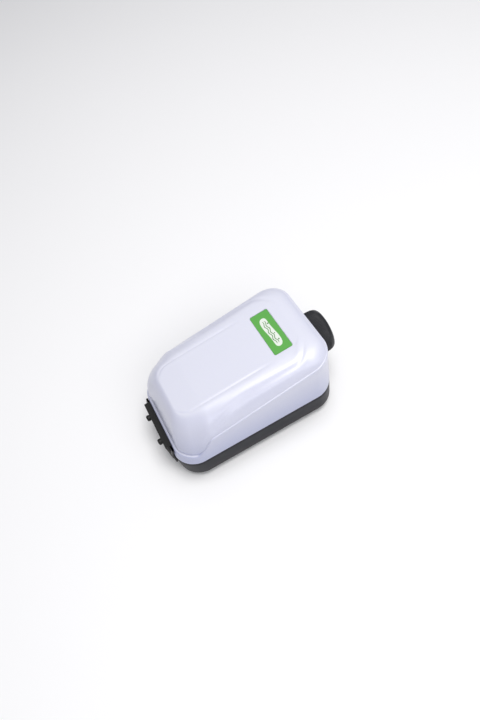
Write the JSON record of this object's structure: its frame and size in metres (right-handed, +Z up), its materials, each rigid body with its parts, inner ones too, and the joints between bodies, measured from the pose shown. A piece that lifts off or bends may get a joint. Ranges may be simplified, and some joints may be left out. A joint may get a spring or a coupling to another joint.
{
  "type": "aquarium air pump",
  "caption": "Rounded case with a glossy pearl cover on a dark base, air outlets at one end, a flow dial at the other, and an electromagnetic diaphragm drive inside.",
  "frame": {"origin": "on the surface the feet stand on, under the middle of the pump's overall box", "axes": "+Z up; +X along the body towards the flow dial, so the air outlets point to -X; +Y across the body"},
  "size_m": [0.1498, 0.0824, 0.071],
  "materials": {
    "pearl_cover": "glossy pearl-white moulded plastic with a faint lavender cast",
    "charcoal_base": "matte charcoal moulded plastic",
    "black_plastic": "satin black moulded plastic",
    "knob_plastic": "satin charcoal moulded plastic, finely ribbed",
    "label_green": "printed label under a clear film",
    "rubber": "soft black rubber",
    "screw_steel": "zinc-plated steel",
    "core_iron": "stacked silicon-steel laminations",
    "coil_copper": "enamelled copper wire",
    "white_nylon": "natural nylon",
    "magnet_ferrite": "sintered ferrite",
    "filter_felt": "needled felt",
    "board_green": "solder mask on glass-fibre board",
    "hose_silicone": "translucent silicone"
  },
  "bodies": {
    "housing": {"air_hose_far": "hose_silicone", "air_hose_near": "hose_silicone", "base_tray": "charcoal_base", "bobbin_far": "white_nylon", "bobbin_near": "white_nylon", "case_screw_1": "screw_steel", "case_screw_2": "screw_steel", "case_screw_3": "screw_steel", "case_screw_4": "screw_steel", "chassis_plate": "white_nylon", "coil_far": "coil_copper", "coil_lead": "coil_copper", "coil_near": "coil_copper", "control_board": "board_green", "control_case": "black_plastic", "control_nut": "screw_steel", "cord_gland": "rubber", "core_clamp": "screw_steel", "damper_1": "rubber", "damper_2": "rubber", "damper_3": "rubber", "damper_4": "rubber", "diaphragm_far": "rubber", "diaphragm_near": "rubber", "diaphragm_retainer_far": "white_nylon", "diaphragm_retainer_near": "white_nylon", "filter_cover": "charcoal_base", "filter_felt": "filter_felt", "foot_1": "rubber", "foot_2": "rubber", "foot_3": "rubber", "foot_4": "rubber", "head_cover_far": "white_nylon", "head_cover_near": "white_nylon", "label_plate": "label_green", "laminated_core": "core_iron", "outlet_nozzle_far": "black_plastic", "outlet_nozzle_near": "black_plastic", "outlet_plate": "black_plastic", "pivot_pin_far": "screw_steel", "pivot_pin_near": "screw_steel", "pump_chamber_far": "white_nylon", "pump_chamber_near": "white_nylon", "seam_gasket": "rubber", "silencer_box": "white_nylon", "top_cover": "pearl_cover", "valve_plate_far": "white_nylon", "valve_plate_near": "white_nylon"},
    "dial": {"flow_knob": "knob_plastic", "control_shaft": "screw_steel"},
    "arm_near": {"swing_arm_near": "black_plastic", "magnet_near": "magnet_ferrite", "diaphragm_button_near": "white_nylon"},
    "inlet_valve_near": {"inlet_flap_near": "rubber"},
    "outlet_valve_near": {"outlet_flap_near": "rubber"},
    "arm_far": {"swing_arm_far": "black_plastic", "magnet_far": "magnet_ferrite", "diaphragm_button_far": "white_nylon"},
    "inlet_valve_far": {"inlet_flap_far": "rubber"},
    "outlet_valve_far": {"outlet_flap_far": "rubber"}
  },
  "joints": [
    {"name": "dial_turn", "type": "hinge", "parent": "housing", "child": "dial", "pos_m": [0.06145, 0, 0.0385], "axis": [1, 0, 0], "range_deg": [-135, 135]},
    {"name": "arm_near_swing", "type": "hinge", "parent": "housing", "child": "arm_near", "pos_m": [0.03815, -0.0222, 0.034], "axis": [0, 0, 1], "range_deg": [-1.5, 1.5], "stiffness_Nm_per_rad": 0.4, "deforming": ["diaphragm_near"]},
    {"name": "arm_far_swing", "type": "hinge", "parent": "housing", "child": "arm_far", "pos_m": [0.03815, 0.0222, 0.034], "axis": [0, 0, 1], "range_deg": [-1.5, 1.5], "stiffness_Nm_per_rad": 0.4, "deforming": ["diaphragm_far"]},
    {"name": "inlet_flap_near_open", "type": "hinge", "parent": "housing", "child": "inlet_valve_near", "pos_m": [0.02015, -0.031, 0.0264], "axis": [-1, 0, 0], "range_deg": [0, 8], "stiffness_Nm_per_rad": 0.0005},
    {"name": "outlet_flap_near_open", "type": "hinge", "parent": "housing", "child": "outlet_valve_near", "pos_m": [0.02015, -0.0328, 0.0416], "axis": [-1, 0, 0], "range_deg": [0, 8], "stiffness_Nm_per_rad": 0.0005},
    {"name": "inlet_flap_far_open", "type": "hinge", "parent": "housing", "child": "inlet_valve_far", "pos_m": [0.02015, 0.031, 0.0264], "axis": [1, 0, 0], "range_deg": [0, 8], "stiffness_Nm_per_rad": 0.0005},
    {"name": "outlet_flap_far_open", "type": "hinge", "parent": "housing", "child": "outlet_valve_far", "pos_m": [0.02015, 0.0328, 0.0416], "axis": [1, 0, 0], "range_deg": [0, 8], "stiffness_Nm_per_rad": 0.0005}
  ],
  "couplings": [
    {"joint": "arm_far_swing", "follows": "arm_near_swing", "ratio": -1}
  ]
}
